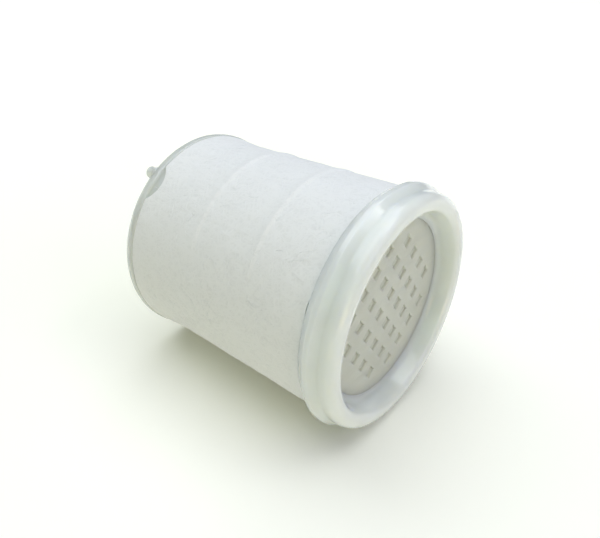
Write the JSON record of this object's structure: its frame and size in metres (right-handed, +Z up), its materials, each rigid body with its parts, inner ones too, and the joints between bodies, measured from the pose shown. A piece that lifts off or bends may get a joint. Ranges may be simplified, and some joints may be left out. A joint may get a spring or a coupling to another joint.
{
  "type": "pump water filter cartridge",
  "caption": "Squat round filter cartridge for a hand pump: milky moulded mouth collar with a recessed strainer, felt-wrapped body and a rounded end cap.",
  "frame": {"origin": "on the table, below the middle of the cartridge's overall length, with the flange's lowest flat at z = 0", "axes": "+X along the cartridge's axis, out of the mouth; +Z up; the axis is 24.9 mm above the table"},
  "size_m": [0.0586, 0.0498, 0.0499],
  "materials": {
    "milky_plastic": "translucent milky polyethylene, soft gloss",
    "strainer_plastic": "translucent milky polyethylene seen in shade, satin",
    "white_felt": "needled white non-woven fibre",
    "inner_felt": "white melt-blown fibre",
    "cage_plastic": "satin moulded polypropylene",
    "glue": "clear amber hot-melt adhesive",
    "foam": "closed-cell foam",
    "resin": "cast resin",
    "carbon": "pressed activated carbon, granular"
  },
  "bodies": {
    "root": {"mouth_collar": "milky_plastic", "strainer_plate": "strainer_plastic", "polishing_felt": "inner_felt", "block_seal": "foam", "front_closure": "resin", "core_tube": "cage_plastic", "core_sock": "inner_felt", "carbon_block": "carbon", "sediment_sleeve": "inner_felt", "rear_closure": "resin", "compression_pad": "foam", "support_cage": "cage_plastic", "front_glue_ring": "glue", "rear_glue_ring": "glue", "felt_strip_front": "white_felt", "felt_strip_middle": "white_felt", "felt_strip_rear": "white_felt", "end_cap": "milky_plastic"}
  },
  "joints": []
}
